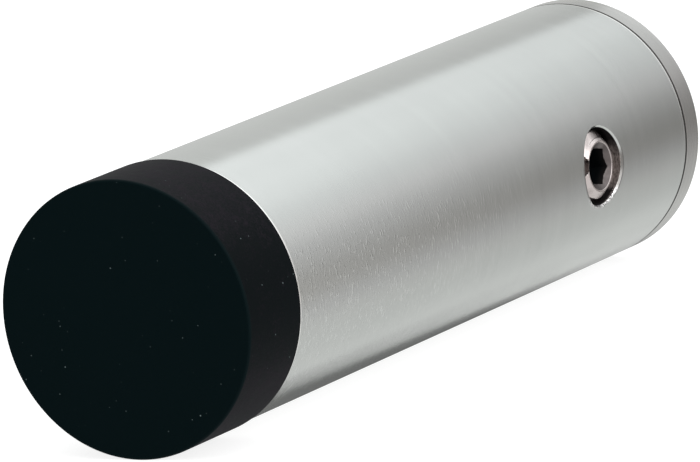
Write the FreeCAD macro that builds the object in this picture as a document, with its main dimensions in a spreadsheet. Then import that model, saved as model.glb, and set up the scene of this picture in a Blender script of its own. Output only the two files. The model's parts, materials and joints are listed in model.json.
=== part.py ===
"""Wall-mounted door stop: a steel sleeve with a rubber buffer, clamped on a spigot by a set screw.

The stop's axis is Y. The wall is the plane y = 0, the stop stands out towards -Y, +Z is up and
the set screw is on the +X side. Millimetres.
"""

import FreeCAD, Part
import os
import Sketcher

doc = FreeCAD.newDocument("door_stop")

# The driving dimensions. A station is a distance from the wall, measured along the axis.
sheet = doc.addObject("Spreadsheet::Sheet", "Dim")
DIMENSIONS = {
    "sleeve_dia": 30.0,
    "sleeve_wall": 2.0,
    "sleeve_length": 91.0,
    "sleeve_edge": 0.15,
    "disc_thick": 3.0,
    "disc_edge": 0.2,
    "disc_bore_dia": 10.0,
    "spigot_dia": 17.0,
    "spigot_length": 33.0,
    "spigot_lead": 1.0,
    "wall_screw_dia": 5.5,
    "wall_screw_seat": 14.0,
    "wall_screw_head_dia": 10.5,
    "bush_length": 35.0,
    "running_gap": 0.05,
    "access_dia": 8.8,
    "screw_station": 23.5,
    "screw_dia": 8.0,
    "screw_length": 6.0,
    "screw_chamfer": 0.75,
    "screw_point_dia": 5.5,
    "key_size": 4.0,
    "key_depth": 2.6,
    "key_mouth_dia": 5.6,
    "key_mouth_depth": 0.3,
    "key_turn": 12.0,
    "plug_length": 12.0,
    "stud_dia": 8.0,
    "stud_chamfer": 0.8,
    "stud_reach": 10.0,
    "plate_dia": 26.0,
    "plate_thick": 2.0,
    "buffer_dia": 30.4,
    "buffer_thick": 11.0,
    "buffer_round": 0.35,
}
for row, (alias, value) in enumerate(DIMENSIONS.items(), start=1):
    sheet.set(f"A{row}", alias)
    sheet.set(f"B{row}", str(value))
    sheet.setAlias(f"B{row}", alias)
doc.recompute()

# Stations and radii that several pieces share.
DISC_FRONT = "Dim.disc_thick"
SLEEVE_FRONT = "(Dim.disc_thick + Dim.sleeve_length)"
SPIGOT_FRONT = "(Dim.disc_thick + Dim.spigot_length)"
BUFFER_FRONT = "(Dim.disc_thick + Dim.sleeve_length + Dim.buffer_thick)"
SLEEVE_RADIUS = "Dim.sleeve_dia / 2"
SLEEVE_BORE = "(Dim.sleeve_dia / 2 - Dim.sleeve_wall)"
SPIGOT_RADIUS = "Dim.spigot_dia / 2"
SCREW_POINT_END = "(Dim.spigot_dia / 2 + Dim.running_gap)"
SCREW_TOP = "(Dim.spigot_dia / 2 + Dim.running_gap + Dim.screw_length)"


def origin_plane(body, role):
    """One of the three planes of a body's own origin."""
    return next(f for f in body.Origin.OriginFeatures if f.Role == role)


def closed_outline(body, role, name, corners):
    """A sketch on an origin plane: straight lines through corners, each bound to the sheet.

    A corner is a pair of expressions for its two coordinates in the sketch.
    """
    sketch = body.newObject("Sketcher::SketchObject", name)
    sketch.AttachmentSupport = (origin_plane(body, role), [""])
    sketch.MapMode = "FlatFace"
    points = []
    for across, along in corners:
        x = float(sketch.evalExpression(across))
        y = float(sketch.evalExpression(along))
        points.append(FreeCAD.Vector(x, y, 0))
    count = len(points)
    for i in range(count):
        sketch.addGeometry(Part.LineSegment(points[i], points[(i + 1) % count]))
    for i in range(count):
        sketch.addConstraint(Sketcher.Constraint("Coincident", i, 2, (i + 1) % count, 1))
    bind_corners(sketch, corners, points)
    return sketch


def bind_corners(sketch, corners, points):
    """Ties the start of each line to its two expressions, measured from the sketch's origin."""
    for i, (across, along) in enumerate(corners):
        for kind, axis, text, value in (
            ("DistanceX", -2, across, points[i].x),
            ("DistanceY", -1, along, points[i].y),
        ):
            if abs(value) < 1e-9:
                sketch.addConstraint(Sketcher.Constraint("PointOnObject", i, 1, axis))
                continue
            if value > 0:
                rule = Sketcher.Constraint(kind, -1, 1, i, 1, value)
                size = text
            else:
                rule = Sketcher.Constraint(kind, i, 1, -1, 1, -value)
                size = f"-({text})"
            number = sketch.addConstraint(rule)
            sketch.setExpression(f"Constraints[{number}]", size)


def turned(name, corners):
    """A body turned about the stop's axis. A corner is (radius, station), both expressions."""
    body = doc.addObject("PartDesign::Body", name)
    outline = [(radius, f"-({station})") for radius, station in corners]
    profile = closed_outline(body, "XY_Plane", name + "_profile", outline)
    turn = body.newObject("PartDesign::Revolution", name + "_turning")
    turn.Profile = profile
    turn.ReferenceAxis = (profile, ["V_Axis"])
    turn.Angle = 360
    body.Tip = turn
    return body


def cross_hole(body, name, diameter):
    """A round hole from the axis out through the +X wall of a body, at the set screw's station."""
    before = body.Shape.Volume
    sketch = body.newObject("Sketcher::SketchObject", name + "_circle")
    sketch.AttachmentSupport = (origin_plane(body, "YZ_Plane"), [""])
    sketch.MapMode = "FlatFace"
    station = float(sketch.evalExpression("Dim.screw_station"))
    radius = float(sketch.evalExpression(diameter)) / 2
    centre = FreeCAD.Vector(-station, 0, 0)
    sketch.addGeometry(Part.Circle(centre, FreeCAD.Vector(0, 0, 1), radius))
    sketch.addConstraint(Sketcher.Constraint("PointOnObject", 0, 3, -1))
    number = sketch.addConstraint(Sketcher.Constraint("DistanceX", 0, 3, -1, 1, station))
    sketch.setExpression(f"Constraints[{number}]", "Dim.screw_station")
    number = sketch.addConstraint(Sketcher.Constraint("Diameter", 0, 2 * radius))
    sketch.setExpression(f"Constraints[{number}]", diameter)
    hole = body.newObject("PartDesign::Pocket", name)
    hole.Profile = sketch
    hole.Type = "Length"
    hole.Reversed = True
    hole.setExpression("Length", "Dim.sleeve_dia")
    body.Tip = hole
    doc.recompute()
    if body.Shape.Volume > before - 1:
        raise RuntimeError(f"{name} cut nothing")


# Base disc: the separate round plate against the wall. Both rims are chamfered.
turned(
    "base_disc",
    [
        ("Dim.disc_bore_dia / 2", "0"),
        (f"{SLEEVE_RADIUS} - Dim.disc_edge", "0"),
        (SLEEVE_RADIUS, "Dim.disc_edge"),
        (SLEEVE_RADIUS, f"{DISC_FRONT} - Dim.disc_edge"),
        (f"{SLEEVE_RADIUS} - Dim.disc_edge", DISC_FRONT),
        ("Dim.disc_bore_dia / 2", DISC_FRONT),
    ],
)

# Base spigot: its shoulder fills the disc's bore. The wall screw passes through it from the
# front, and the head sits at the bottom of the wide recess.
turned(
    "base_spigot",
    [
        ("Dim.wall_screw_dia / 2", "0"),
        ("Dim.disc_bore_dia / 2", "0"),
        ("Dim.disc_bore_dia / 2", DISC_FRONT),
        (SPIGOT_RADIUS, DISC_FRONT),
        (SPIGOT_RADIUS, f"{SPIGOT_FRONT} - Dim.spigot_lead"),
        (f"{SPIGOT_RADIUS} - Dim.spigot_lead", SPIGOT_FRONT),
        ("Dim.wall_screw_head_dia / 2", SPIGOT_FRONT),
        ("Dim.wall_screw_head_dia / 2", "Dim.wall_screw_seat"),
        ("Dim.wall_screw_dia / 2", "Dim.wall_screw_seat"),
    ],
)

# Body tube: the satin sleeve, with a clear hole in its side to reach the set screw.
tube = turned(
    "body_tube",
    [
        (SLEEVE_BORE, DISC_FRONT),
        (f"{SLEEVE_RADIUS} - Dim.sleeve_edge", DISC_FRONT),
        (SLEEVE_RADIUS, f"{DISC_FRONT} + Dim.sleeve_edge"),
        (SLEEVE_RADIUS, f"{SLEEVE_FRONT} - Dim.sleeve_edge"),
        (f"{SLEEVE_RADIUS} - Dim.sleeve_edge", SLEEVE_FRONT),
        (SLEEVE_BORE, SLEEVE_FRONT),
    ],
)
doc.recompute()
cross_hole(tube, "access_hole", "Dim.access_dia")

# Rear bush: pressed into the tube's wall end. It slides on the spigot and is tapped across for
# the set screw, so the tapped hole is the screw's size plus the running gap.
bush = turned(
    "rear_bush",
    [
        (f"{SPIGOT_RADIUS} + Dim.running_gap", DISC_FRONT),
        (SLEEVE_BORE, DISC_FRONT),
        (SLEEVE_BORE, f"{DISC_FRONT} + Dim.bush_length"),
        (f"{SPIGOT_RADIUS} + Dim.running_gap", f"{DISC_FRONT} + Dim.bush_length"),
    ],
)
doc.recompute()
cross_hole(bush, "tapped_hole", "Dim.screw_dia + 2 * Dim.running_gap")

# Front plug: closes the tube behind the buffer and takes its stud.
turned(
    "front_plug",
    [
        ("Dim.stud_dia / 2", f"{SLEEVE_FRONT} - Dim.plug_length"),
        (SLEEVE_BORE, f"{SLEEVE_FRONT} - Dim.plug_length"),
        (SLEEVE_BORE, SLEEVE_FRONT),
        ("Dim.stud_dia / 2", SLEEVE_FRONT),
    ],
)

# Bonding plate: the flat steel ring that the rubber is vulcanised to.
turned(
    "bonding_plate",
    [
        ("Dim.stud_dia / 2", SLEEVE_FRONT),
        ("Dim.plate_dia / 2", SLEEVE_FRONT),
        ("Dim.plate_dia / 2", f"{SLEEVE_FRONT} + Dim.plate_thick"),
        ("Dim.stud_dia / 2", f"{SLEEVE_FRONT} + Dim.plate_thick"),
    ],
)

# Buffer stud: fixed in the bonding plate and screwed into the front plug.
turned(
    "buffer_stud",
    [
        ("0", f"{SLEEVE_FRONT} - Dim.stud_reach"),
        ("Dim.stud_dia / 2 - Dim.stud_chamfer", f"{SLEEVE_FRONT} - Dim.stud_reach"),
        ("Dim.stud_dia / 2", f"{SLEEVE_FRONT} - Dim.stud_reach + Dim.stud_chamfer"),
        ("Dim.stud_dia / 2", f"{SLEEVE_FRONT} + Dim.plate_thick"),
        ("0", f"{SLEEVE_FRONT} + Dim.plate_thick"),
    ],
)

# Rubber buffer: a thick black pad a little wider than the sleeve, moulded round the plate.
rubber = turned(
    "rubber_buffer",
    [
        ("0", f"{SLEEVE_FRONT} + Dim.plate_thick"),
        ("Dim.plate_dia / 2 + Dim.running_gap", f"{SLEEVE_FRONT} + Dim.plate_thick"),
        ("Dim.plate_dia / 2 + Dim.running_gap", SLEEVE_FRONT),
        ("Dim.buffer_dia / 2", SLEEVE_FRONT),
        ("Dim.buffer_dia / 2", BUFFER_FRONT),
        ("0", BUFFER_FRONT),
    ],
)
doc.recompute()
rubber_turning = rubber.Tip
face_station = float(sheet.evalExpression(BUFFER_FRONT))
rims = [
    f"Edge{i}"
    for i, edge in enumerate(rubber.Shape.Edges, start=1)
    if isinstance(edge.Curve, Part.Circle) and abs(edge.Curve.Center.y + face_station) < 1e-6
]
rim_round = rubber.newObject("PartDesign::Fillet", "face_round")
rim_round.Base = (rubber_turning, rims)
rim_round.setExpression("Radius", "Dim.buffer_round")
rubber.Tip = rim_round

# Set screw: headless, with a flat point and a hexagon socket, on a radial axis. Its sketches are
# drawn about its own axis. Its placement carries it to its station, and turns it about its own
# axis to where it stopped when it was tightened.
screw = doc.addObject("PartDesign::Body", "set_screw")
screw_profile = closed_outline(
    screw,
    "XY_Plane",
    "set_screw_profile",
    [
        (SCREW_POINT_END, "0"),
        (SCREW_POINT_END, "Dim.screw_point_dia / 2"),
        (
            f"{SCREW_POINT_END} + (Dim.screw_dia - Dim.screw_point_dia) / 2",
            "Dim.screw_dia / 2",
        ),
        (f"{SCREW_TOP} - Dim.screw_chamfer", "Dim.screw_dia / 2"),
        (SCREW_TOP, "Dim.screw_dia / 2 - Dim.screw_chamfer"),
        (SCREW_TOP, "Dim.key_mouth_dia / 2"),
        (f"{SCREW_TOP} - Dim.key_mouth_depth", "Dim.key_size / 2"),
        (f"{SCREW_TOP} - Dim.key_mouth_depth", "0"),
    ],
)
screw_turning = screw.newObject("PartDesign::Revolution", "set_screw_turning")
screw_turning.Profile = screw_profile
screw_turning.ReferenceAxis = (screw_profile, ["H_Axis"])
screw_turning.Angle = 360
screw.Tip = screw_turning
doc.recompute()
solid_volume = screw.Shape.Volume

# The hexagon is drawn with its flats above and below and two corners along the stop's axis.
HALF_FLAT = "Dim.key_size / 2"
CORNER = "Dim.key_size / sqrt(3)"
HALF_CORNER = "Dim.key_size / sqrt(3) / 2"
hexagon = closed_outline(
    screw,
    "YZ_Plane",
    "key_hexagon",
    [
        (CORNER, "0"),
        (HALF_CORNER, HALF_FLAT),
        (f"-({HALF_CORNER})", HALF_FLAT),
        (f"-({CORNER})", "0"),
        (f"-({HALF_CORNER})", f"-({HALF_FLAT})"),
        (HALF_CORNER, f"-({HALF_FLAT})"),
    ],
)
hexagon.setExpression("AttachmentOffset.Base.z", f"{SCREW_TOP} - Dim.key_depth")
socket = screw.newObject("PartDesign::Pocket", "key_socket")
socket.Profile = hexagon
socket.Type = "Length"
socket.Reversed = True
socket.setExpression("Length", "Dim.key_depth")
screw.Tip = socket
screw.setExpression(
    "Placement",
    "placement(vector(0; -Dim.screw_station; 0); rotation(vector(1; 0; 0); -Dim.key_turn))",
)
doc.recompute()
if screw.Shape.Volume > solid_volume - 1:
    raise RuntimeError("the key socket cut nothing")

for item in doc.Objects:
    if "Invalid" in item.State or "Error" in item.State:
        raise RuntimeError(f"{item.Name} failed: {item.State}")
bodies = [item for item in doc.Objects if item.TypeId == "PartDesign::Body"]
for body in bodies:
    if body.Shape.isNull() or not body.Shape.isValid() or len(body.Shape.Solids) != 1:
        raise RuntimeError(f"{body.Label} is not one valid solid")

os.makedirs("parts", exist_ok=True)
for body in bodies:
    body.Shape.exportStep(f"parts/{body.Label}.step")
    box = body.Shape.BoundBox
    print(f"{body.Label}: {body.Shape.Volume:.1f} mm3, y {box.YMin:.2f} to {box.YMax:.2f}")
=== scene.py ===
import json
import math

import bmesh
import bpy
import numpy as np
from mathutils import Matrix, Vector


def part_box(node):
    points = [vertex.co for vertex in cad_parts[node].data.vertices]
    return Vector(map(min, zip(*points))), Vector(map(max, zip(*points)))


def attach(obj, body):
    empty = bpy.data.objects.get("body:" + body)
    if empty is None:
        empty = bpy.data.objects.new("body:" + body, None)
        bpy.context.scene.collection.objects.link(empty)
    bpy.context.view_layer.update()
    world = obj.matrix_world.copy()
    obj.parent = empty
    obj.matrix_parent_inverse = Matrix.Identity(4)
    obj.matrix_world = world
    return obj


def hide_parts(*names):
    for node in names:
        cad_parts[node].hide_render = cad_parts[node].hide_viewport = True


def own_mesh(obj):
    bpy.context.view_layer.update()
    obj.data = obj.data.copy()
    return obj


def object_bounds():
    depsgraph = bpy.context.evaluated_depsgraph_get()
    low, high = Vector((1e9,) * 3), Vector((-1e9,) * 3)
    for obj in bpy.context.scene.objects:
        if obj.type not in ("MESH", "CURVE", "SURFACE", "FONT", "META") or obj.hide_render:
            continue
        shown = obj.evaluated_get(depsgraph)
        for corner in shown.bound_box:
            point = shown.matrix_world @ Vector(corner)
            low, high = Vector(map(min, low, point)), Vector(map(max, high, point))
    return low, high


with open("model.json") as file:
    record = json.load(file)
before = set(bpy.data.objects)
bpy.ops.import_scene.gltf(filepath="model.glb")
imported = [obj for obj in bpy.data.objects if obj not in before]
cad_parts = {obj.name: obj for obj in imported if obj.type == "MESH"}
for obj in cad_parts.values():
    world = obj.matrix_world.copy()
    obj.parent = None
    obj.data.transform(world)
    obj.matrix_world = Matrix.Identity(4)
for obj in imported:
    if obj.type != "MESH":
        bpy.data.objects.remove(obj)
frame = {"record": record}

cad_low, cad_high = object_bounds()


# ---------------------------------------------------------------------------------------------
# Base disc. A thin round plate of stainless steel, turned and satin finished like the sleeve,
# which lies flat against the wall. The wall screw clamps it under the spigot.
# ---------------------------------------------------------------------------------------------


class Signal:
    """A value on its way through a material. Arithmetic on it adds Math nodes."""

    def __init__(self, recipe, socket):
        self.recipe = recipe
        self.socket = socket

    def maths(self, operation, first, second=0.0):
        return self.recipe.add("ShaderNodeMath", {"operation": operation}, {0: first, 1: second})

    def __add__(self, other):
        return self.maths("ADD", self, other)

    def __radd__(self, other):
        return self.maths("ADD", other, self)

    def __sub__(self, other):
        return self.maths("SUBTRACT", self, other)

    def __rsub__(self, other):
        return self.maths("SUBTRACT", other, self)

    def __mul__(self, other):
        return self.maths("MULTIPLY", self, other)

    def __truediv__(self, other):
        return self.maths("DIVIDE", self, other)

    def __pow__(self, other):
        return self.maths("POWER", self, other)

    def sine(self):
        return self.maths("SINE", self)

    def bearing(self, other):
        """The angle, in radians, whose tangent is self over other."""
        return self.maths("ARCTAN2", self, other)

    def above(self, limit):
        """1 where self is over limit, and 0 elsewhere."""
        return self.maths("GREATER_THAN", self, limit)

    def fade(self, low, high):
        """0 below low, 1 above high, and a smooth step between."""
        return self.recipe.add(
            "ShaderNodeMapRange",
            {"interpolation_type": "SMOOTHSTEP"},
            {"Value": self, "From Min": low, "From Max": high},
        )


class Recipe:
    """A node tree, for a material or the studio, built one node at a time."""

    def __init__(self, name, world=None):
        owner = world or bpy.data.materials.new(name)
        owner.use_nodes = True
        self.owner = owner
        self.tree = owner.node_tree
        self.tree.nodes.clear()

    def add(self, kind, settings=None, sockets=None, out=0):
        """One node of that kind: its settings first, then a value or a Signal for each socket."""
        node = self.tree.nodes.new(kind)
        for name, value in (settings or {}).items():
            if name == "stops":
                self.set_stops(node.color_ramp, value)
            else:
                setattr(node, name, value)
        for name, value in (sockets or {}).items():
            if isinstance(value, Signal):
                self.tree.links.new(value.socket, node.inputs[name])
            else:
                node.inputs[name].default_value = value
        return Signal(self, node.outputs[out]) if node.outputs else None

    def set_stops(self, ramp, stops):
        """Gives a colour ramp its stops, each (position, colour)."""
        while len(ramp.elements) > 1:
            ramp.elements.remove(ramp.elements[-1])
        for number, (position, colour) in enumerate(stops):
            stop = ramp.elements[0] if number == 0 else ramp.elements.new(position)
            stop.position = position
            stop.color = (*colour, 1.0)

    def place(self):
        """The piece's own coordinates. They are the frame's, as every piece is at its origin."""
        return self.add("ShaderNodeTexCoord", out=3)

    def parts(self, vector):
        """The three parts of a vector."""
        node = self.add("ShaderNodeSeparateXYZ", {}, {0: vector}).socket.node
        return [Signal(self, output) for output in node.outputs]

    def vector(self, x, y, z):
        return self.add("ShaderNodeCombineXYZ", {}, {0: x, 1: y, 2: z})

    def from_axis(self, place):
        """The distance from the stop's axis: root(x² + z²)."""
        x, _, z = self.parts(place)
        return (x * x + z * z) ** 0.5

    def noise(self, vector, scale, detail=2.0, roughness=0.5):
        """Smooth noise about 0.5, whose features are about 1/scale of a metre."""
        return self.add(
            "ShaderNodeTexNoise",
            {},
            {"Vector": vector, "Scale": scale, "Detail": detail, "Roughness": roughness},
        )

    def turning_marks(self, place, across, along, detail=2.0, roughness=0.5):
        """Noise drawn out round the stop's axis, as a lathe or an abrasive leaves it.

        Its features are 1/across of a metre long and 1/along wide. It runs on x and z, and on
        y plus the distance from the axis, so it goes round a wall and round a face alike.
        """
        x, y, z = self.parts(place)
        station = y + self.from_axis(place)
        drawn = self.vector(x * across, station * along, z * across)
        return self.noise(drawn, 1.0, detail, roughness)

    def cells(self, place, scale, out=0):
        """The distance to the nearest of many scattered points, or its random colour (out 1)."""
        return self.add("ShaderNodeTexVoronoi", {}, {"Vector": place, "Scale": scale}, out=out)

    def blend(self, share, first, second):
        """first where share is 0, second where it is 1. Each is a colour or a Signal of one."""
        first, second = (
            colour if isinstance(colour, Signal) else (*colour, 1.0) for colour in (first, second)
        )
        return self.add(
            "ShaderNodeMix", {"data_type": "RGBA"}, {0: share, 6: first, 7: second}, out=2
        )

    def bump(self, strength, depth, height):
        return self.add(
            "ShaderNodeBump", {}, {"Strength": strength, "Distance": depth, "Height": height}
        )

    def surface(self, sockets):
        """Ends a material with the shader that takes these sockets."""
        shader = self.add("ShaderNodeBsdfPrincipled", {}, sockets)
        self.add("ShaderNodeOutputMaterial", {}, {"Surface": shader})
        return self.owner

    def metal(self, tone, roughness, bumped):
        """Ends a material as bare metal."""
        return self.surface(
            {"Base Color": tone, "Metallic": 1.0, "Roughness": roughness, "Normal": bumped}
        )


def shaded(colour, factor):
    """The colour made darker or brighter by a factor."""
    return tuple(factor * part for part in colour)


DARK_SPECK = (0.06, 0.055, 0.05)
JOINT_SHADE = (0.03, 0.028, 0.027)
EDGE_HIGHLIGHT = (0.98, 0.97, 0.95)
BORE_DARK = (0.1, 0.09, 0.086)
BORE_BRIGHT = (0.42, 0.38, 0.36)
HOLE_SHADE = (0.01, 0.01, 0.012)
BURR_DARK = (0.05, 0.045, 0.05)
BURR_PAINTED_GLINT = (0.85, 0.83, 0.82)
RIM_SHADE = (0.14, 0.13, 0.125)


def shaded_joint(steel, place, tone, station, radius):
    """The tone with a fine line of painted shade in the joint in front of a rim, and just round it."""
    _, y, _ = steel.parts(place)
    in_joint = 1 - (y - station).fade(0.00004, 0.00013)
    outermost = steel.from_axis(place).fade(radius - 0.0008, radius - 0.0005)
    # Painted shade: the disc's front face is darkened next to the joint's gap, where shade falls
    # between the parts.
    return steel.blend(in_joint * outermost * 0.92, tone, JOINT_SHADE)


def highlighted_ends(steel, place, tone, front, rear):
    """The tone with a painted highlight along its edges: all round in front, on the upper side behind.
    """
    _, y, z = steel.parts(place)
    front_edge = 1 - (y - front).fade(0.00042, 0.00048)
    rear_edge = (y - rear).fade(-0.00045, -0.00038) * z.fade(-0.004, 0.006)
    # Painted highlight: the edges are painted near white, and behind only on the upper side, where the
    # light falls.
    return steel.blend((front_edge + rear_edge) * 0.85, tone, EDGE_HIGHLIGHT)


def drilled_side(steel, place, tone, satin, height, station, radius, skin):
    """The tone, roughness and bump height with a drilled hole's own finish on the +X side.

    The hole's wall is scored, and its tone is kept dark partly as its own finish and partly as painted
    shade; above and below it is painted near black as shade. Its rim is painted in shade from just
    above its foot to about its middle, and along its foot a burr stands in the outermost half
    millimetre under skin, the radius of the outside, with a painted glint in its bright speckle.
    """
    x, y, z = steel.parts(place)
    this_side = x.above(0.0)
    from_hole = ((y - station) ** 2.0 + z * z) ** 0.5
    wall = (1 - from_hole.fade(radius + 0.00002, radius + 0.00005)) * this_side
    rim = (1 - from_hole.fade(radius + 0.0002, radius + 0.0006)) * this_side
    foot = 1 - z.fade(-0.0034, -0.0026)
    burr = rim * steel.from_axis(place).fade(skin - 0.00055, skin - 0.0003) * foot
    chatter = steel.noise(steel.vector(x * 5000, y * 2400, z * 2400), 1.0, 3.0, 0.7)
    # The scored wall's dark tone is partly the drilled wall's own rougher finish and partly painted
    # shade inside the hole.
    bored = steel.blend(chatter.fade(0.3, 0.7), BORE_DARK, BORE_BRIGHT)
    # Painted shade: the hole's wall above and at its foot is painted near black, where shade falls in
    # the hole.
    in_shade = z.fade(0.0, 0.0026) + foot
    bored = steel.blend(in_shade * 0.95, bored, HOLE_SHADE)
    tone = steel.blend(wall, tone, bored)
    sparks = steel.noise(place, 6000.0, 2.0, 0.7)
    # The burr along the hole's foot: its bump is real, and its bright speckle in the tone is a painted
    # glint.
    tone = steel.blend(
        burr * 0.9, tone, steel.blend(sparks.fade(0.42, 0.56), BURR_DARK, BURR_PAINTED_GLINT)
    )
    # Painted shade on the rim round the hole, from just above its foot to about its middle.
    rim_in_shade = rim * (1 - wall) * z.fade(-0.0034, -0.0028) * (1 - z.fade(0.0002, 0.0016))
    tone = steel.blend(rim_in_shade * 0.8, tone, RIM_SHADE)
    return tone, satin + wall * (1 - burr) * 0.25, height + burr * sparks * 9


def satin_steel(
    name, colour, roughness, scuffed=0.0, streaks=0.12, drilled=None, joint_shadow=None, ends=None
):
    """Stainless steel turned about the stop's axis and rubbed satin.

    It has fine and broad turning marks, dull clouds and a few dark specks. Where it is scuffed, low
    down toward the buffer, it has nicks and grain as well. Three places have marks of their own: a rim
    with a line of painted shade in its joint, joint_shadow = (station, radius), two edges with a
    painted highlight, ends = (front, rear), and a hole, drilled = (station, radius, radius of the
    outside), with its own finish, painted shade and painted glints.
    """
    steel = Recipe(name)
    place = steel.place()
    _, y, z = steel.parts(place)
    dull = shaded(colour, 0.9)
    bright = shaded(colour, 1.35)
    fine = steel.turning_marks(place, across=90, along=9000, detail=3.0, roughness=0.6)
    broad = steel.turning_marks(place, across=35, along=700)
    lines = steel.turning_marks(place, across=50, along=3300, detail=1.0)
    nicks = steel.turning_marks(place, across=1250, along=4600, detail=1.0)
    grain = steel.turning_marks(place, across=1500, along=5000, roughness=0.6)
    clouds = steel.noise(place, 55.0, 3.0)
    speck = 1 - steel.cells(place, 85.0).fade(0.012, 0.024)
    toward_buffer = 1 - (y - cad_low.y).fade(0.012, 0.075)
    low_side = (1 - z.fade(0.001, 0.0085)) * (z.fade(-0.013, -0.004) * 0.7 + 0.3)
    worn = toward_buffer * low_side * scuffed + 0.08
    nick = nicks.fade(0.58, 0.72) * worn
    height = fine * 0.4 + broad * 0.2 + nick * 2.2 + grain * worn * 0.9
    satin = roughness + (broad - 0.5) * 0.06 + (clouds - 0.5) * 0.06 + nick * 0.15
    tone = steel.blend((clouds * 1.4 - 0.2) * 0.6, colour, dull)
    tone = steel.blend(nick * 0.4, tone, bright)
    tone = steel.blend((grain - 0.35) * worn * 0.5, tone, bright)
    tone = steel.blend((fine + broad - 0.7) * streaks, tone, bright)
    tone = steel.blend(lines.fade(0.4, 0.7) * streaks * 0.5, tone, dull)
    tone = steel.blend(speck * 0.7, tone, DARK_SPECK)
    if joint_shadow:
        tone = shaded_joint(steel, place, tone, *joint_shadow)
    if ends:
        tone = highlighted_ends(steel, place, tone, *ends)
    if drilled:
        tone, satin, height = drilled_side(steel, place, tone, satin, height, *drilled)
    return steel.metal(tone, satin, steel.bump(0.3, 0.000012, height))


def quads(rows, columns, close_rows=False, close_columns=False):
    """Corner numbers of a grid's quads, as (row, column, corner)."""
    row = np.arange(rows if close_rows else rows - 1)[:, None]
    column = np.arange(columns if close_columns else columns - 1)[None, :]
    next_row = (row + 1) % rows
    next_column = (column + 1) % columns
    corners = [
        row * columns + column,
        next_row * columns + column,
        next_row * columns + next_column,
        row * columns + next_column,
    ]
    return np.stack(np.broadcast_arrays(*corners), -1)


def sewn(name, sheets, crease=38.0):
    """One closed mesh from sheets of (points, quads): meeting edges are merged, faces out."""
    starts = np.cumsum([0] + [len(points) for points, _ in sheets])
    points = np.concatenate([points for points, _ in sheets])
    faces = np.concatenate(
        [corners.reshape(-1, 4) + start for (_, corners), start in zip(sheets, starts)]
    )
    used, faces = np.unique(faces, return_inverse=True)
    mesh = bpy.data.meshes.new(name)
    mesh.from_pydata(points[used].tolist(), [], faces.reshape(-1, 4).tolist())
    work = bmesh.new()
    work.from_mesh(mesh)
    bmesh.ops.remove_doubles(work, verts=work.verts, dist=1e-6)
    bmesh.ops.recalc_face_normals(work, faces=work.faces)
    work.to_mesh(mesh)
    work.free()
    mesh.shade_smooth()
    mesh.set_sharp_from_angle(angle=math.radians(crease))
    piece = bpy.data.objects.new(name, mesh)
    bpy.context.scene.collection.objects.link(piece)
    return piece


SMALLEST_ARC = 1e-6
FLAT_MARGIN = 1.3


def eased(corners, steps=6):
    """A closed outline of (radius, station, size) corners, each eased to an arc of its size.

    With unit vectors a and b to the two neighbours, the arc's centre lies on a + b, and it
    meets the sides at size / tan(half the corner's angle). One more point on each side keeps
    the flats flat. Gives (corner, point, 2).
    """
    corners = np.array(corners, float)
    sizes = np.maximum(corners[:, 2:], SMALLEST_ARC)
    corners = corners[:, :2]
    a = np.roll(corners, 1, 0) - corners
    b = np.roll(corners, -1, 0) - corners
    a /= np.linalg.norm(a, axis=1, keepdims=True)
    b /= np.linalg.norm(b, axis=1, keepdims=True)
    half = 0.5 * np.arccos(np.clip((a * b).sum(1, keepdims=True), -1, 1))
    reach = sizes / np.tan(half)
    middle = a + b
    middle /= np.linalg.norm(middle, axis=1, keepdims=True)
    centre = corners + middle * sizes / np.sin(half)
    start = (corners + a * reach - centre)[:, None]
    end = (corners + b * reach - centre)[:, None]
    sweep = (math.pi - 2 * half)[:, None]
    t = np.linspace(0, 1, steps)[None, :, None]
    arc = (np.sin((1 - t) * sweep) * start + np.sin(t * sweep) * end) / np.sin(sweep)
    before = (corners + a * reach * FLAT_MARGIN)[:, None]
    after = (corners + b * reach * FLAT_MARGIN)[:, None]
    return np.concatenate([before, centre[:, None] + arc, after], 1)


def turned(outline, sides=240, closed=True):
    """A sheet turned about the stop's axis, whose points are (r cos a, station, r sin a)."""
    outline = np.asarray(outline, float).reshape(-1, 2)
    angle = np.arange(sides)[:, None] / sides * 2 * math.pi
    radius = outline[None, :, 0]
    station = np.broadcast_to(outline[None, :, 1], (sides, len(outline)))
    points = np.stack([radius * np.cos(angle), station, radius * np.sin(angle)], -1)
    return points.reshape(-1, 3), quads(sides, len(outline), True, closed)


def lathed(name, corners, sides=240):
    """A piece turned about the stop's axis from one closed outline of (radius, station, size)."""
    return sewn(name, [turned(eased(corners), sides)])


disc_low, disc_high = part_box("base_disc")
DISC_BORE = 0.005
DISC_EDGE = 0.0001

disc = lathed(
    "base_disc_plate",
    [
        (DISC_BORE, disc_low.y, 0.0002),
        (disc_high.x, disc_low.y, DISC_EDGE),
        (disc_high.x, disc_high.y, DISC_EDGE),
        (DISC_BORE, disc_high.y, 0.0003),
    ],
)
satin_disc = satin_steel(
    "satin_steel_disc",
    (0.45, 0.442, 0.432),
    0.21,
    streaks=0.7,
    # The joint in front of the disc's rim gets a line of painted shade.
    joint_shadow=(disc_low.y, disc_high.x),
)
disc.data.materials.append(satin_disc)
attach(disc, "base")
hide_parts("base_disc")


# ---------------------------------------------------------------------------------------------
# Base spigot. A bar turned in free-cutting steel, with a shoulder pressed into the disc. The
# wall screw goes in from its open end; its head sits at the bottom of the wide recess.
# ---------------------------------------------------------------------------------------------

spigot_low, spigot_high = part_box("base_spigot")
WALL_SCREW_HOLE = frame["record"]["mounts"][0]["dims"]["r_mm"] / 1000
WALL_SCREW_SEAT = -0.014
HEAD_RECESS = 0.00525
SPIGOT_LEAD = 0.001


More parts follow.
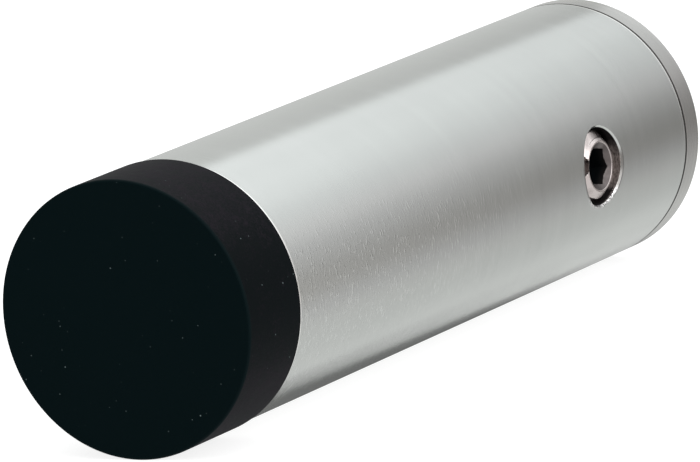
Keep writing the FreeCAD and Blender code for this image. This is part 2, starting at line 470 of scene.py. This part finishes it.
def turned_steel(name, colour, roughness, pitch):
    """Steel straight off the lathe: feed lines of that pitch round the axis, and oil stains."""
    steel = Recipe(name)
    place = steel.place()
    _, y, _ = steel.parts(place)
    wander = steel.turning_marks(place, across=60, along=700)
    feed = ((y + steel.from_axis(place)) * (2 * math.pi / pitch) + wander * 5).sine()
    fine = steel.turning_marks(place, across=80, along=12000)
    stain = steel.noise(place, 140.0, 4.0, 0.6)
    tone = steel.blend(stain.fade(0.45, 0.75), colour, shaded(colour, 0.7))
    bumped = steel.bump(0.4, 0.00001, feed * 0.5 + fine)
    return steel.metal(tone, roughness + (stain - 0.5) * 0.2, bumped)


spigot = lathed(
    "base_spigot_bar",
    [
        (WALL_SCREW_HOLE, spigot_high.y, 0.0003),
        (DISC_BORE, spigot_high.y, 0.00015),
        (DISC_BORE, disc_low.y, 0.00005),
        (spigot_high.x, disc_low.y, 0.0002),
        (spigot_high.x, spigot_low.y + SPIGOT_LEAD, 0.0003),
        (spigot_high.x - SPIGOT_LEAD, spigot_low.y, 0.0002),
        (HEAD_RECESS, spigot_low.y, 0.0003),
        (HEAD_RECESS, WALL_SCREW_SEAT, 0.0004),
        (WALL_SCREW_HOLE, WALL_SCREW_SEAT, 0.0003),
    ],
    sides=160,
)
spigot.data.materials.append(turned_steel("turned_spigot_steel", (0.5, 0.49, 0.47), 0.3, 0.00035))
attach(spigot, "base")
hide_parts("base_spigot")


# ---------------------------------------------------------------------------------------------
# Rear bush. A thick aluminium ring pressed into the sleeve's wall end. It slides on the spigot,
# and it is drilled and tapped across for the set screw.
# ---------------------------------------------------------------------------------------------

bush_low, bush_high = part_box("rear_bush")
screw_low, screw_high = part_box("set_screw")
SCREW_STATION = (screw_low.y + screw_high.y) / 2
SCREW_RADIUS = (screw_high.y - screw_low.y) / 2
RUNNING_GAP = 0.00005
BUSH_BORE = spigot_high.x + RUNNING_GAP
TAPPED_HOLE = SCREW_RADIUS + RUNNING_GAP
WALL_STEP = 0.0025
WINDOW_ROWS = 30
WINDOW_RINGS = 10
LINING_RINGS = 5


def wall_stations(front, rear, half_width):
    """Stations along a drilled wall: even and close beside the hole, coarse away from it."""
    low = SCREW_STATION - half_width
    high = SCREW_STATION + half_width
    before = np.linspace(front, low, max(2, round((low - front) / WALL_STEP)), endpoint=False)
    beside = np.linspace(low, high, WINDOW_ROWS + 1)
    after = np.linspace(high, rear, max(2, round((rear - high) / WALL_STEP)) + 1)[1:]
    return np.concatenate([before, beside, after]), len(before)


def on_wall(radius, station, height, sunk=0.0):
    """Points of a round wall from their station and height: x = root(radius² - z²) - sunk."""
    across = np.sqrt(radius**2 - height**2) - sunk
    return np.stack([across, station, height], -1)


def drilled_wall(radius, stations, first, reach, hole, sides, bearings=None):
    """A round wall about the axis with a round hole, radius hole, through its +X side.

    The wall is (radius cos a, station, radius sin a) without a window of whole quads, from
    station number first on, and reach quads each way round. In the window, straight
    lines in station and height run from the window's frame to the hole's edge, where
    station = centre + hole cos b and height = hole sin b. Gives the two sheets and each b.
    """
    angle = (np.arange(sides) - reach) / sides * 2 * math.pi
    around, along = np.meshgrid(angle, stations)
    wall = np.stack([radius * np.cos(around), along, radius * np.sin(around)], -1)
    corners = quads(len(stations), sides, False, True)
    kept = np.ones(corners.shape[:2], bool)
    last = first + WINDOW_ROWS
    kept[first:last, : 2 * reach] = False
    row = np.arange(first, last)
    column = np.arange(2 * reach)
    window = np.concatenate(
        [
            wall[first, column],
            wall[row, 2 * reach],
            wall[last, column[::-1] + 1],
            wall[row[::-1] + 1, 0],
        ]
    )
    if bearings is None:
        bearings = np.arctan2(window[:, 2], window[:, 1] - SCREW_STATION)
    share = np.linspace(0, 1, WINDOW_RINGS)[:, None] ** 1.4
    station = (1 - share) * (SCREW_STATION + hole * np.cos(bearings)) + share * window[:, 1]
    height = (1 - share) * hole * np.sin(bearings) + share * window[:, 2]
    ring = on_wall(radius, station, height)
    sheets = [
        (wall.reshape(-1, 3), corners[kept]),
        (ring.reshape(-1, 3), quads(len(share), len(window), False, True)),
    ]
    return sheets, bearings


def hole_lining(outer, inner, hole, rim, bearings):
    """The hole's wall, from the outer wall in: a rim chamfer, then straight in along X."""
    cos, sin = np.cos(bearings), np.sin(bearings)
    wide = on_wall(outer, SCREW_STATION + (hole + rim) * cos, (hole + rim) * sin)
    mouth = on_wall(outer, SCREW_STATION + hole * cos, hole * sin, rim)
    inside = on_wall(inner, SCREW_STATION + hole * cos, hole * sin)
    share = np.linspace(0, 1, LINING_RINGS)[:, None, None]
    lining = np.concatenate([wide[None], mouth + share * (inside - mouth)])
    return lining.reshape(-1, 3), quads(len(lining), len(bearings), False, True)


def drilled_tube(name, outer, inner, front, rear, edges, hole, rim, sides, reach, half_width):
    """A tube with eased ends and a hole through its +X side, as one closed mesh.

    edges are the arcs' sizes, in the order front bore, front outside, rear outside, rear bore.
    """
    corners = [(inner, front), (outer, front), (outer, rear), (inner, rear)]
    ends = eased(np.column_stack([corners, edges]))
    outside, first = wall_stations(ends[1, -1, 1], ends[2, 0, 1], half_width)
    inside, first_in = wall_stations(ends[0, 0, 1], ends[3, -1, 1], half_width)
    skin, bearings = drilled_wall(outer, outside, first, reach, hole + rim, sides)
    bore, _ = drilled_wall(inner, inside, first_in, reach, hole, sides, bearings)
    return sewn(
        name,
        [
            *skin,
            *bore,
            hole_lining(outer, inner, hole, rim, bearings),
            turned(ends[0:2], sides, closed=False),
            turned(ends[2:4], sides, closed=False),
        ],
    )


bush = drilled_tube(
    "rear_bush_ring",
    outer=bush_high.x,
    inner=BUSH_BORE,
    front=bush_low.y,
    rear=bush_high.y,
    edges=[0.0004, 0.0003, 0.0003, 0.0004],
    hole=TAPPED_HOLE,
    rim=0.0003,
    sides=160,
    reach=20,
    half_width=0.0075,
)
bush.data.materials.append(turned_steel("turned_aluminium", (0.62, 0.62, 0.61), 0.34, 0.0003))
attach(bush, "sleeve")
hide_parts("rear_bush")


# ---------------------------------------------------------------------------------------------
# Body tube. The visible sleeve: stainless tube, parted off, its ends eased, the outside turned
# and rubbed satin round the axis. A clear hole with a broken rim gives access to the set screw.
# The sleeve is clamped a hair's breadth off the disc, and its front edge just clears the rubber.
# ---------------------------------------------------------------------------------------------

tube_low, tube_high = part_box("body_tube")
TUBE_BORE = bush_high.x
ACCESS_HOLE = 0.0044
ACCESS_RIM = 0.00022
SEAT_GAP = 0.00012
FRONT_RELIEF = 0.00003

tube = drilled_tube(
    "body_tube_sleeve",
    outer=tube_high.x,
    inner=TUBE_BORE,
    front=tube_low.y + FRONT_RELIEF,
    rear=tube_high.y - SEAT_GAP,
    edges=[0.00015, 0.00012, 0.00022, 0.00015],
    hole=ACCESS_HOLE,
    rim=ACCESS_RIM,
    sides=240,
    reach=20,
    half_width=0.0068,
)
satin_sleeve = satin_steel(
    "satin_steel_sleeve",
    (0.54, 0.55, 0.54),
    0.17,
    scuffed=1.0,
    drilled=(SCREW_STATION, ACCESS_HOLE, tube_high.x),
    # The sleeve's two ends get a painted highlight along their edges.
    ends=(tube_low.y, tube_high.y - SEAT_GAP),
)
tube.data.materials.append(satin_sleeve)
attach(tube, "sleeve")
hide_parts("body_tube")


# ---------------------------------------------------------------------------------------------
# Front plug. An aluminium disc pressed flush into the sleeve's free end, with a hole for the
# buffer's stud. Its back shows down the bore when the sleeve is off the spigot.
# ---------------------------------------------------------------------------------------------

plug_low, plug_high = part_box("front_plug")
_, stud_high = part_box("buffer_stud")
STUD_RADIUS = stud_high.x

plug = lathed(
    "front_plug_disc",
    [
        (STUD_RADIUS, plug_low.y, 0.0003),
        (plug_high.x, plug_low.y, 0.0001),
        (plug_high.x, plug_high.y, 0.0004),
        (STUD_RADIUS, plug_high.y, 0.0004),
    ],
    sides=120,
)
plug.data.materials.append(turned_steel("turned_plug_aluminium", (0.6, 0.6, 0.6), 0.36, 0.0004))
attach(plug, "sleeve")
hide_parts("front_plug")


# ---------------------------------------------------------------------------------------------
# Buffer stud and bonding plate. A zinc plated M8 stud with a rolled thread, fixed in the flat
# plate that the rubber is vulcanised to, and screwed into the front plug.
# ---------------------------------------------------------------------------------------------

plate_low, plate_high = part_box("bonding_plate")
STUD_END_CHAMFER = 0.0008
UNDERCUT_SLOPE = 4.0
STUD_REACH = stud_high.y - plate_high.y
THREAD_PITCH = 0.00125
THREAD_DEPTH = 0.00077
THREAD_FLANK = 1.35
THREAD_CREST = 0.12
THREAD_STEPS = 24
THREAD_SIDES = 120
FULL_TURN = np.linspace(0, 2 * math.pi, THREAD_SIDES + 1)[:, None]


def threaded(major, length, envelope, phase=0.0):
    """A right-hand thread as rings of (angle, height, radius), on a grid that follows it.

    On the grid, height = step + pitch x angle / turn, held between 0 and length. The radius is
    the major one less a trapezium groove in height / pitch - angle / turn, and no more than
    envelope(angle, height).
    """
    turns = math.ceil(length / THREAD_PITCH) + 1
    step = np.arange(turns * THREAD_STEPS + 1)[None, :] / THREAD_STEPS - 1
    place = (step + phase) % 1.0
    groove = np.clip((1 - abs(2 * place - 1)) * THREAD_FLANK - THREAD_CREST, 0, 1)
    height = np.clip((step + FULL_TURN / (2 * math.pi)) * THREAD_PITCH, 0, length)
    radius = np.minimum(major - THREAD_DEPTH * groove, envelope(FULL_TURN, height))
    return np.broadcast_to(FULL_TURN, height.shape), height, radius


def end_ring(height, radius, at_top):
    """The radius at each angle where a thread meets its lower or upper end."""
    end = height.max() if at_top else height.min()
    met = np.isclose(height[:-1], end)
    column = met.argmax(1) if at_top else met.shape[1] - 1 - met[:, ::-1].argmax(1)
    return radius[np.arange(len(column)), column][:, None]


def zinc_plate(name, colour):
    """Bright zinc plating: faint clouded spangle and small dull patches."""
    zinc = Recipe(name)
    place = zinc.place()
    patches = zinc.noise(place, 300.0, 3.0)
    spangled = zinc.blend(0.12, colour, zinc.cells(place, 900.0, out=1))
    tone = zinc.blend(patches.fade(0.5, 0.7) * 0.4, spangled, (0.35, 0.35, 0.36))
    return zinc.metal(tone, 0.28 + patches * 0.2, zinc.bump(0.2, 0.00002, patches))


def stud_envelope(angle, height):
    """A 45 degree chamfer on the free end, and a steep undercut down to the plate."""
    chamfered = STUD_RADIUS - np.clip(height - STUD_REACH + STUD_END_CHAMFER, 0, None)
    return np.minimum(chamfered, STUD_RADIUS - STUD_END_CHAMFER + height * UNDERCUT_SLOPE)


def stud_sheet(angle, station, radius):
    """A sheet about the stop's axis, (r cos a, station, -r sin a): right-handed toward +Y."""
    station = np.broadcast_to(station, radius.shape)
    points = np.stack([radius * np.cos(angle), station, radius * -np.sin(angle)], -1)
    return points.reshape(-1, 3), quads(*radius.shape, close_rows=len(angle) == THREAD_SIDES)


stud_angle, stud_height, stud_ring = threaded(STUD_RADIUS, STUD_REACH, stud_envelope)
stud_foot = end_ring(stud_height, stud_ring, False)
stud_end = end_ring(stud_height, stud_ring, True)
stud_turn = FULL_TURN[:-1]
plain_ring = np.full(stud_turn.shape, STUD_RADIUS)
to_centre = np.linspace(1, 0, 4)
stud = sewn(
    "buffer_stud_thread",
    [
        stud_sheet(stud_angle, plate_high.y + stud_height, stud_ring),
        stud_sheet(stud_turn, stud_high.y, stud_end * to_centre),
        stud_sheet(
            stud_turn,
            np.array([plate_high.y, plate_high.y, plate_low.y]),
            np.hstack([stud_foot, plain_ring, plain_ring]),
        ),
        stud_sheet(stud_turn, plate_low.y, plain_ring * to_centre),
    ],
    crease=30.0,
)
zinc = zinc_plate("zinc_plated_stud_steel", (0.6, 0.61, 0.62))
stud.data.materials.append(zinc)
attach(stud, "sleeve")
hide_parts("buffer_stud")

plate = lathed(
    "bonding_plate_ring",
    [
        (STUD_RADIUS, plate_low.y, 0.0001),
        (plate_high.x, plate_low.y, 0.0003),
        (plate_high.x, plate_high.y, 0.0002),
        (STUD_RADIUS, plate_high.y, 0.0001),
    ],
    sides=120,
)
plate.data.materials.append(zinc)
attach(plate, "sleeve")
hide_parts("bonding_plate")


# ---------------------------------------------------------------------------------------------
# Set screw. A headless M8 screw of bright steel with a flat point, a chamfered end and a
# broached hexagon socket with a countersunk mouth. It is driven in flush under the sleeve.
# ---------------------------------------------------------------------------------------------

# The hexagon has a coned mouth and a drilled bottom, and the flat point has a coned edge.
SCREW_LENGTH = screw_high.x - screw_low.x
END_RADIUS = 0.00292
END_SLOPE = 1.35
POINT_RADIUS = 0.00275
KEY_FLAT = 0.002
KEY_DEPTH = 0.0026
KEY_MOUTH = 0.00276
KEY_MOUTH_DEPTH = 0.0005
KEY_TURN = math.radians(12)
DRILL_CONE = 0.0005
SOCKET_RINGS = 40
THREAD_START = 0.18
LEAD_ANGLE = math.pi - 0.18
LEAD_HALF_WIDTH = 0.34
LEAD_FLANK = 0.2
LEAD_LENGTH = 0.0012
LEAD_STEP = 0.0002
LEAD_RADIUS = 0.0028


def screw_envelope(angle, height):
    """What the thread stays inside: the point's cone, the end's chamfer, and the lead-in.

    The lead-in is a notch in the end, where the first weak turn of thread is cut away: the
    radius drops steeply to the lead-in's own on both sides of its angle.
    """
    cone = np.minimum(POINT_RADIUS + height, END_RADIUS + (SCREW_LENGTH - height) * END_SLOPE)
    from_lead = abs(angle - LEAD_ANGLE) / LEAD_HALF_WIDTH
    side = np.clip((from_lead - 1 + LEAD_FLANK) / LEAD_FLANK, 0, 1)
    below = np.clip((SCREW_LENGTH - LEAD_LENGTH - height) / LEAD_STEP, 0, 1)
    notch = LEAD_RADIUS + (SCREW_RADIUS - LEAD_RADIUS) * np.maximum(side, below)
    return np.minimum(cone, notch)


def screw_sheet(angle, height, radius):
    """A sheet about the screw's own axis: x = height, and angle turns from +Y to +Z."""
    angle, height, radius = np.broadcast_arrays(angle, height, radius)
    across = SCREW_STATION + radius * np.cos(angle)
    points = np.stack([screw_low.x + height, across, radius * np.sin(angle)], -1)
    return points.reshape(-1, 3), quads(*radius.shape, close_rows=len(angle) == THREAD_SIDES)


thread_angle, thread_height, thread_radius = threaded(
    SCREW_RADIUS, SCREW_LENGTH, screw_envelope, phase=THREAD_START
)
screw_turn = FULL_TURN[:-1]
hexagon = KEY_FLAT / np.cos((screw_turn + KEY_TURN) % (math.pi / 3) - math.pi / 6)
sink = np.linspace(0, KEY_DEPTH, SOCKET_RINGS)
mouth_cone = KEY_MOUTH - sink * (KEY_MOUTH - KEY_FLAT) / KEY_MOUTH_DEPTH
end_outer = end_ring(thread_height, thread_radius, True)
end_radius = end_outer + (KEY_MOUTH - end_outer) * np.linspace(0, 1, 5)
floor_share = np.linspace(1, 0, 6)
floor_height = SCREW_LENGTH - KEY_DEPTH - DRILL_CONE * (1 - floor_share)

screw = sewn(
    "set_screw_m8",
    [
        screw_sheet(thread_angle, thread_height, thread_radius),
        screw_sheet(screw_turn, SCREW_LENGTH, end_radius),
        screw_sheet(screw_turn, SCREW_LENGTH - sink, np.maximum(hexagon, mouth_cone)),
        screw_sheet(screw_turn, floor_height, hexagon * floor_share),
        screw_sheet(screw_turn, 0.0, POINT_RADIUS * np.linspace(1, 0, 4)),
    ],
    crease=28.0,
)


def screw_steel(name, colour):
    """Bright machined steel, a little warm, with turning rings about the screw's own axis.

    Where the key goes in it is darker: its mouth is painted dark as shade in the recess, with a
    mottle, and deep down no light comes in.
    """
    steel = Recipe(name)
    place = steel.place()
    own = steel.add(
        "ShaderNodeMapping", {}, {"Vector": place, "Location": (0.0, -SCREW_STATION, 0.0)}
    )
    x, y, z = steel.parts(own)
    from_centre = (y * y + z * z) ** 0.5
    rings = steel.noise(steel.vector(from_centre * 14000, x * 9000, z * 40), 1.0, 2.0)
    stain = steel.noise(place, 700.0, 3.0)
    deep = 1 - x.fade(screw_high.x - 0.0016, screw_high.x - 0.0006)
    bore = 1 - from_centre.fade(KEY_FLAT * 1.15, KEY_FLAT * 1.25)
    inside_mouth = 1 - from_centre.fade(KEY_MOUTH - 0.00008, KEY_MOUTH - 0.00002)
    mouth = inside_mouth * x.above(screw_high.x - KEY_DEPTH)
    tone = steel.blend(stain.fade(0.45, 0.7) * 0.5, colour, shaded(colour, 0.55))
    # Painted shade: the key's coned mouth is painted dark, as the recess lies in shade.
    tone = steel.blend(mouth * (stain * 0.3 + 0.78), tone, (0.085, 0.073, 0.072))
    tone = steel.blend(deep * bore, tone, (0.05, 0.06, 0.065))
    bumped = steel.bump(0.5, 0.000012, rings)
    return steel.metal(tone, 0.18 + stain * 0.16 + mouth * 0.12, bumped)


screw.data.materials.append(screw_steel("bright_screw_steel", (0.56, 0.505, 0.495)))
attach(screw, "screw")
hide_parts("set_screw")


# ---------------------------------------------------------------------------------------------
# Rubber buffer. A thick pad of black rubber, moulded round the bonding plate and a little wider
# than the sleeve. The face is smooth and dusty, the side is scuffed grey by handling.
# ---------------------------------------------------------------------------------------------

rubber_low, rubber_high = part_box("rubber_buffer")
PLATE_POCKET = plate_high.x + RUNNING_GAP
FACE_ROUND = 0.0003
FLECK_SCALE = 1000.0
SHADE_BAND_HEIGHT = 0.001
SCUFF_DARK = (0.0002, 0.0014, 0.002)
SCUFF_GREY = (0.0072, 0.0056, 0.0085)
FACE_BLACK = (0.0005, 0.0043, 0.0052)
DUST = (0.2, 0.26, 0.26)


def black_rubber(name):
    """Moulded black rubber: a mottled scuffed side, a cleaner face, and stray dust flecks.

    The side is painted darker in a band along its middle, as shade. The flecks are the middles of
    random cells, and a high power of each cell's number leaves nearly all of them faint.
    """
    rubber = Recipe(name)
    place = rubber.place()
    _, y, z = rubber.parts(place)
    face = 1 - (y - rubber_low.y).fade(0.0001, 0.0005)
    grain = rubber.noise(place, 4200.0, 3.0, 0.65)
    mottle = rubber.noise(place, 900.0, 3.0, 0.6)
    scuffs = rubber.noise(place, 120.0, 4.0, 0.6)
    mostly_faint = rubber.parts(rubber.cells(place, FLECK_SCALE, out=1))[0] ** 7.0
    fleck = (1 - rubber.cells(place, FLECK_SCALE).fade(0.05, 0.1)) * mostly_faint
    # Painted shade: the side is painted darker in a band along its middle height, where it faces away
    # from the light.
    shade_band = 1 - ((z - SHADE_BAND_HEIGHT) ** 2.0).fade(0.000006, 0.00009)
    scuffed = (grain * 2.4 + mottle * 1.8 + scuffs * 0.8 - 2.0 - shade_band * 0.65).fade(-0.1, 1.1)
    side_tone = rubber.blend(scuffed, SCUFF_DARK, SCUFF_GREY)
    tone = rubber.blend(face, side_tone, FACE_BLACK)
    tone = rubber.blend(fleck * 0.6, tone, DUST)
    return rubber.surface(
        {
            "Base Color": tone,
            "Roughness": 0.62 + (mottle - 0.5) * 0.2 - face * 0.06,
            "Specular IOR Level": 0.05,
            "Normal": rubber.bump(0.35, 0.00003, (grain + mottle) * (1 - face * 0.6) + fleck),
        }
    )


rubber_rim = eased(
    [
        (0.0, plate_low.y, 0.0),
        (PLATE_POCKET, plate_low.y, 0.0001),
        (PLATE_POCKET, rubber_high.y, 0.0001),
        (rubber_high.x, rubber_high.y, 0.00015),
        (rubber_high.x, rubber_low.y, FACE_ROUND),
        (0.0, rubber_low.y, 0.0),
    ],
    steps=8,
)
pocket_centre = [(0.0, plate_low.y)]
strike_face = [(radius, rubber_low.y) for radius in np.linspace(rubber_high.x * 0.9, 0, 8)]
rubber_outline = np.concatenate([pocket_centre, rubber_rim[1:5].reshape(-1, 2), strike_face])
rubber = sewn("rubber_buffer_pad", [turned(rubber_outline, closed=False)])
rubber.data.materials.append(black_rubber("moulded_black_rubber"))
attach(rubber, "buffer")
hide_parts("rubber_buffer")
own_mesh(rubber)


# ---------------------------------------------------------------------------------------------
# Studio. A plain white floor under the stop, long soft boxes on either side of a darker gap
# along its axis, and the camera low in front of the buffer, to the right.
# ---------------------------------------------------------------------------------------------

FLOOR_HALF = 3.0
floor_corners = np.array([(-1, -1), (1, -1), (1, 1), (-1, 1)]) * FLOOR_HALF
floor_points = np.column_stack([floor_corners, np.full(4, cad_low.z)])
floor_mesh = bpy.data.meshes.new("studio_floor")
floor_mesh.from_pydata(floor_points.tolist(), [], [(0, 1, 2, 3)])
floor = bpy.data.objects.new("studio_floor", floor_mesh)
bpy.context.scene.collection.objects.link(floor)
floor_paint = Recipe("white_paper")
paper = floor_paint.noise(floor_paint.place(), 900.0)
floor_mesh.materials.append(
    floor_paint.surface(
        {
            "Base Color": floor_paint.blend(paper, (0.28, 0.28, 0.28), (0.31, 0.31, 0.31)),
            "Roughness": 0.9,
            "Specular IOR Level": 0.1,
            "Emission Color": (1.0, 1.0, 1.0, 1.0),
            "Emission Strength": 0.84,
        }
    )
)
floor.visible_glossy = False


BRIGHTEST = 2.0
NEAR_LIMIT = 0.82
RING_OVERLAP = 0.075
COOL = (0.97, 1.0, 1.0)
GREEN = (0.98, 1.0, 0.98)
WARM = (1.02, 1.0, 0.97)
WHITE = (1.0, 1.0, 1.0)
BACKDROP = (0.93, 0.93, 0.93, 1.0)


def studio_light(name):
    """Light from all round, by its bearing about the stop's axis: 0 is up and 90 is to +X.

    Two rings of (bearing, brightness, tint) are blended by how near the light comes to the axis
    beyond the wall end: near is the ring of wide angles, and deep the one close to the axis. The
    stops' brightness is held as a share of BRIGHTEST.
    """
    world = bpy.data.worlds.new(name)
    bpy.context.scene.world = world
    studio = Recipe(name, world)
    x, y, z = studio.parts(studio.add("ShaderNodeTexCoord", out=0))
    bearing = x.bearing(z) * (0.5 / math.pi) + 0.5

    def ring(stops):
        shares = [(0.5 + angle / 360, shaded(tint, level / BRIGHTEST)) for angle, level, tint in stops]
        return studio.add("ShaderNodeValToRGB", {"stops": shares}, {0: bearing})

    def facing(across, along, up):
        """The cosine of the angle between the light and a direction."""
        return x * across + y * along + z * up

    near = ring(
        [
            (-180, 0.85, GREEN),
            (-150, 0.95, GREEN),
            (-104, 0.62, GREEN),
            (-60, 0.83, GREEN),
            (-37, 0.97, GREEN),
            (-27, 1.66, COOL),
            (-6, 1.56, COOL),
            (12, 1.76, COOL),
            (26, 1.72, COOL),
            (42, 1.5, COOL),
            (58, 1.38, WHITE),
            (74, 1.12, WHITE),
            (98, 0.9, WARM),
            (108, 0.92, WARM),
            (122, 1.0, WHITE),
            (140, 1.02, GREEN),
            (160, 0.92, GREEN),
            (180, 0.85, GREEN),
        ]
    )
    deep = ring(
        [
            (-180, 0.84, GREEN),
            (-150, 0.82, GREEN),
            (-104, 0.7, GREEN),
            (-60, 0.62, GREEN),
            (-37, 0.42, GREEN),
            (-27, 0.74, COOL),
            (-6, 0.82, COOL),
            (12, 0.56, COOL),
            (42, 0.46, WHITE),
            (58, 0.32, WHITE),
            (74, 0.16, WARM),
            (92, 0.02, WARM),
            (108, 0.01, WARM),
            (122, 0.14, WARM),
            (138, 0.38, WARM),
            (160, 0.6, GREEN),
            (180, 0.84, GREEN),
        ]
    )
    colour = studio.blend((y - NEAR_LIMIT) / RING_OVERLAP, near, deep)
    # A dark card low on the far side, with a slanting edge. The sleeve's foot mirrors it.
    card_edge = bearing - (y - 0.843) * 4.6
    dark_card = card_edge.fade(0.03, 0.046) * (1 - bearing.fade(0.17, 0.23))
    dark_card = dark_card * y.fade(0.7, 0.75) * (1 - y.fade(0.857, 0.863))
    # Little light comes from in front of the rubber, and a bright card stands beside the screw.
    front_gloom = facing(-0.5, -0.86, 0.0).fade(0.35, 0.9)
    side_card = facing(0.897, -0.206, 0.392).fade(0.9, 0.955)
    strength = (1 - dark_card * 0.78) * (1 - front_gloom * 0.75) + side_card * 1.2
    backdrop = studio.add("ShaderNodeBackground", {}, {"Color": BACKDROP})
    boxes = studio.add(
        "ShaderNodeBackground", {}, {"Color": colour, "Strength": strength * BRIGHTEST}
    )
    seen = studio.add("ShaderNodeLightPath", out=0)
    both = studio.add("ShaderNodeMixShader", {}, {0: seen, 1: boxes, 2: backdrop})
    studio.add("ShaderNodeOutputWorld", {}, {"Surface": both})


studio_light("long_soft_boxes")

overhead = bpy.data.lights.new("overhead_soft_box", "AREA")
overhead.shape = "RECTANGLE"
overhead.size = 0.7
overhead.size_y = 0.9
overhead.energy = 2.2
overhead_lamp = bpy.data.objects.new("overhead_soft_box", overhead)
overhead_lamp.location = (0.15, -0.1, 0.9)
overhead_lamp.rotation_euler = (0.0, math.radians(9), 0.0)
overhead_lamp.visible_camera = False
overhead_lamp.visible_glossy = False
bpy.context.scene.collection.objects.link(overhead_lamp)

CAMERA_AZIMUTH = math.radians(30.12)
CAMERA_ELEVATION = math.radians(10.19)
CAMERA_ROLL = math.radians(-6.05)
CAMERA_DISTANCE = 0.9589
FACE_RIGHT = -0.0238
FACE_UP = -0.00946
SENSOR_WIDTH = 36.0
LENS = 466.3

back = Vector(
    (
        math.sin(CAMERA_AZIMUTH) * math.cos(CAMERA_ELEVATION),
        -math.cos(CAMERA_AZIMUTH) * math.cos(CAMERA_ELEVATION),
        math.sin(CAMERA_ELEVATION),
    )
)
upright = back.to_track_quat("Z", "Y").to_matrix()
turn = upright @ Matrix.Rotation(CAMERA_ROLL, 3, "Z")
face_centre = Vector((0.0, rubber_low.y, 0.0))
camera_data = bpy.data.cameras.new("studio_camera")
camera_data.sensor_width = SENSOR_WIDTH
camera_data.lens = LENS
camera_data.clip_start = 0.05
camera_data.clip_end = 20.0
camera = bpy.data.objects.new("studio_camera", camera_data)
camera.rotation_mode = "QUATERNION"
camera.rotation_quaternion = turn.to_quaternion()
camera.location = face_centre - turn @ Vector((FACE_RIGHT, FACE_UP, -CAMERA_DISTANCE))
bpy.context.scene.collection.objects.link(camera)
bpy.context.scene.camera = camera
bpy.context.scene.view_settings.view_transform = "Standard"
